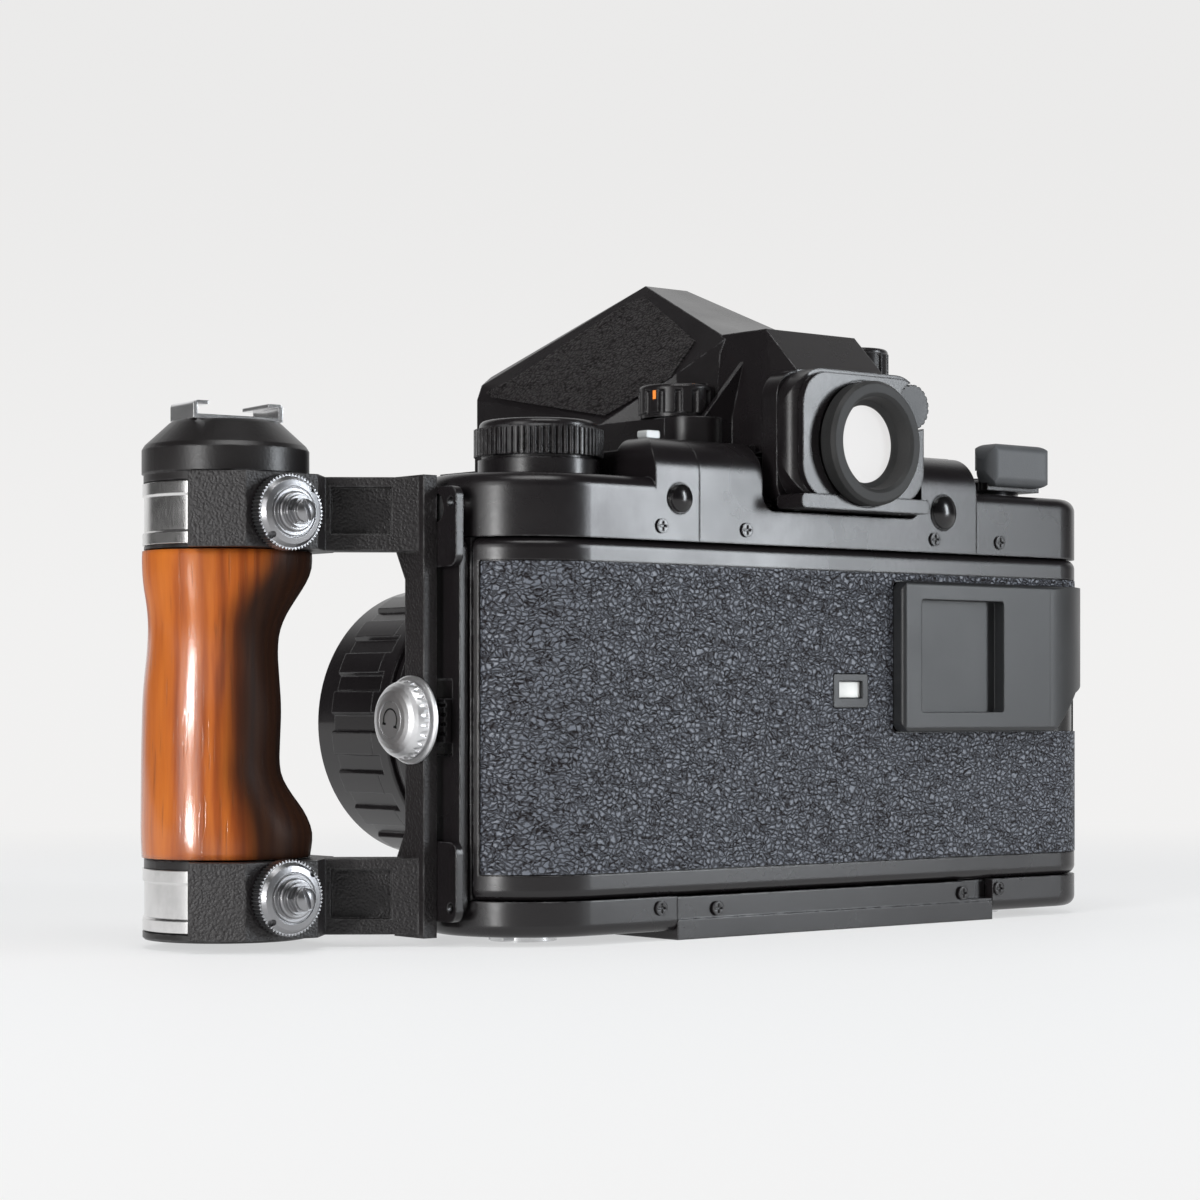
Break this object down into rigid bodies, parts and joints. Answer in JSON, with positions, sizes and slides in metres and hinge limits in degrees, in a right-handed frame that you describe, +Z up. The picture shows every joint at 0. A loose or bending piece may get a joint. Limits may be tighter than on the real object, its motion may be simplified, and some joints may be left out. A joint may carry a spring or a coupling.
{
  "type": "medium format camera",
  "caption": "Metered-prism medium format film SLR with hinged back, focusing lens and a wooden side grip on a two-arm bracket with an accessory shoe.",
  "frame": {"origin": "mouth of the tripod socket in the base plane, below the optical axis", "axes": "+X to the operator's left and the wooden grip, +Y to the rear of the camera, +Z up; the lens looks along -Y"},
  "size_m": [0.2415, 0.1697, 0.151],
  "materials": {
    "black_paint": "satin black paint",
    "black_leather": "pebbled dark leather",
    "crackle_paint": "coarse black crackle",
    "chrome": "polished chrome",
    "steel": "brushed steel",
    "wood": "oiled orange brown wood",
    "rubber": "matt black rubber",
    "grey_rubber": "grey moulded pad",
    "plastic": "fine grained black",
    "glass": "coated glass",
    "mirror": "silvered",
    "cloth": "rubberised black cloth"
  },
  "bodies": {
    "camera": {"body_casting": "black_paint", "top_cover_left": "black_paint", "top_cover_center": "black_paint", "top_cover_right": "black_paint", "bottom_cover": "black_paint", "base_plate": "black_paint", "front_leather": "black_leather", "hand_grip": "rubber", "lens_mount_ring": "steel", "shutter_curtains": "cloth", "focusing_screen": "glass", "pentaprism": "glass", "finder_housing": "black_paint", "finder_leather": "black_leather", "eyepiece_block": "black_paint", "eyepiece_lens": "glass", "eyecup": "rubber", "display_windows": "glass", "latch_panel": "black_paint", "hinge_pin": "steel", "strap_lugs": "steel", "lens_barrel": "black_paint", "rear_glass": "glass", "grip_bracket": "crackle_paint", "hook_plates": "black_paint", "clamp_bands": "chrome", "screws": "black_paint"},
    "door": {"back_door": "black_paint", "door_leather": "black_leather", "memo_holder": "plastic", "film_window": "steel"},
    "pressure": {"pressure_plate": "black_paint"},
    "latch": {"door_latch": "black_paint"},
    "mirror_flap": {"reflex_mirror": "mirror"},
    "comp": {"compensation_dial": "black_paint"},
    "meter": {"metering_dial": "black_paint"},
    "diopter": {"diopter_wheel": "plastic"},
    "dial": {"shutter_dial": "black_paint"},
    "dial_lock": {"dial_lock_button": "black_paint"},
    "speed_key": {"speed_button": "plastic"},
    "memory_key": {"memory_button": "plastic"},
    "lever": {"advance_lever": "black_paint", "lever_pad": "grey_rubber"},
    "release": {"shutter_release": "steel"},
    "switch": {"power_switch": "black_paint"},
    "roller": {"film_roller": "steel"},
    "key_left": {"spool_key_left": "chrome"},
    "key_right": {"spool_key_right": "chrome"},
    "spool_left": {"supply_spool": "plastic"},
    "spool_right": {"takeup_spool": "plastic"},
    "focus": {"focus_ring": "black_paint"},
    "aperture": {"aperture_ring": "black_paint"},
    "front_group": {"front_barrel": "black_paint", "front_glass": "glass"},
    "mount_screw": {"mount_knob": "steel"},
    "knob_upper": {"clamp_knob_upper": "steel"},
    "knob_lower": {"clamp_knob_lower": "steel"},
    "handle": {"wood_handle": "wood", "handle_core": "black_paint", "accessory_shoe": "chrome"}
  },
  "joints": [
    {"name": "door_hinge", "type": "hinge", "parent": "camera", "child": "door", "pos_m": [-0.0882, 0.0324, 0.0477], "axis": [0, 0, 1], "range_deg": [0, 112]},
    {"name": "plate_spring", "type": "slide", "parent": "door", "child": "pressure", "axis": [0, 1, 0], "range_m": [-0.0008, 0.0004], "stiffness_N_per_m": 900},
    {"name": "latch_slide", "type": "slide", "parent": "camera", "child": "latch", "axis": [0, 0, -1], "range_m": [0, 0.002]},
    {"name": "mirror_flip", "type": "hinge", "parent": "camera", "child": "mirror_flap", "pos_m": [0, 0.0235, 0.0835], "axis": [-1, 0, 0], "range_deg": [0, 44]},
    {"name": "comp_turn", "type": "hinge", "parent": "camera", "child": "comp", "pos_m": [0.0267, 0.0189, 0.118], "axis": [0, 0, 1], "range_deg": [-120, 120]},
    {"name": "meter_turn", "type": "hinge", "parent": "camera", "child": "meter", "pos_m": [-0.0247, 0.0245, 0.13], "axis": [0, 0, 1], "range_deg": [-45, 45]},
    {"name": "diopter_turn", "type": "hinge", "parent": "camera", "child": "diopter", "pos_m": [-0.0164, 0.049, 0.1184], "axis": [0, 1, 0], "range_deg": [-150, 150]},
    {"name": "dial_turn", "type": "hinge", "parent": "camera", "child": "dial", "pos_m": [0.0695, 0.0224, 0.105], "axis": [0, 0, 1], "continuous": true},
    {"name": "dial_lock_press", "type": "slide", "parent": "dial", "child": "dial_lock", "axis": [0, 0, -1], "range_m": [0, 0.0008], "stiffness_N_per_m": 900},
    {"name": "speed_press", "type": "slide", "parent": "camera", "child": "speed_key", "axis": [0, -1, 0], "range_m": [0, 0.001], "stiffness_N_per_m": 900},
    {"name": "memory_press", "type": "slide", "parent": "camera", "child": "memory_key", "axis": [0, -1, 0], "range_m": [0, 0.001], "stiffness_N_per_m": 900},
    {"name": "lever_advance", "type": "hinge", "parent": "camera", "child": "lever", "pos_m": [-0.066, 0.0225, 0.103], "axis": [0, 0, 1], "range_deg": [0, 175]},
    {"name": "release_press", "type": "slide", "parent": "camera", "child": "release", "axis": [0, 0, -1], "range_m": [0, 0.001], "stiffness_N_per_m": 900},
    {"name": "switch_turn", "type": "hinge", "parent": "camera", "child": "switch", "pos_m": [-0.066, -0.009, 0.1], "axis": [0, 0, 1], "range_deg": [-30, 30]},
    {"name": "roller_turn", "type": "hinge", "parent": "camera", "child": "roller", "pos_m": [-0.044, 0.0292, 0.047], "axis": [0, 0, 1], "continuous": true},
    {"name": "key_left_pull", "type": "slide", "parent": "camera", "child": "key_left", "axis": [0, 0, -1], "range_m": [0, 0.006]},
    {"name": "key_right_pull", "type": "slide", "parent": "camera", "child": "key_right", "axis": [0, 0, -1], "range_m": [0, 0.006]},
    {"name": "supply_turn", "type": "hinge", "parent": "camera", "child": "spool_left", "pos_m": [0.074, 0.0225, 0.0477], "axis": [0, 0, 1], "continuous": true},
    {"name": "takeup_turn", "type": "hinge", "parent": "camera", "child": "spool_right", "pos_m": [-0.066, 0.0225, 0.0477], "axis": [0, 0, 1], "continuous": true},
    {"name": "focus_turn", "type": "hinge", "parent": "camera", "child": "focus", "pos_m": [0, -0.09, 0.046], "axis": [0, -1, 0], "range_deg": [0, 270]},
    {"name": "aperture_turn", "type": "hinge", "parent": "camera", "child": "aperture", "pos_m": [0, -0.068, 0.046], "axis": [0, -1, 0], "range_deg": [0, 70]},
    {"name": "front_extend", "type": "slide", "parent": "camera", "child": "front_group", "axis": [0, -1, 0], "range_m": [0, 0.012]},
    {"name": "mount_knob_turn", "type": "hinge", "parent": "camera", "child": "mount_screw", "pos_m": [0.103, 0.022, 0.0475], "axis": [1, 0, 0], "continuous": true},
    {"name": "knob_upper_turn", "type": "hinge", "parent": "camera", "child": "knob_upper", "pos_m": [0.1325, 0.02, 0.09], "axis": [0, 1, 0], "continuous": true},
    {"name": "knob_lower_turn", "type": "hinge", "parent": "camera", "child": "knob_lower", "pos_m": [0.1325, 0.02, 0.0113], "axis": [0, 1, 0], "continuous": true},
    {"name": "handle_turn", "type": "hinge", "parent": "camera", "child": "handle", "pos_m": [0.1325, -0.004, 0.05], "axis": [0, 0, 1], "continuous": true}
  ],
  "couplings": [
    {"joint": "front_extend", "follows": "focus_turn", "m_per_rad": 0.0025465}
  ]
}
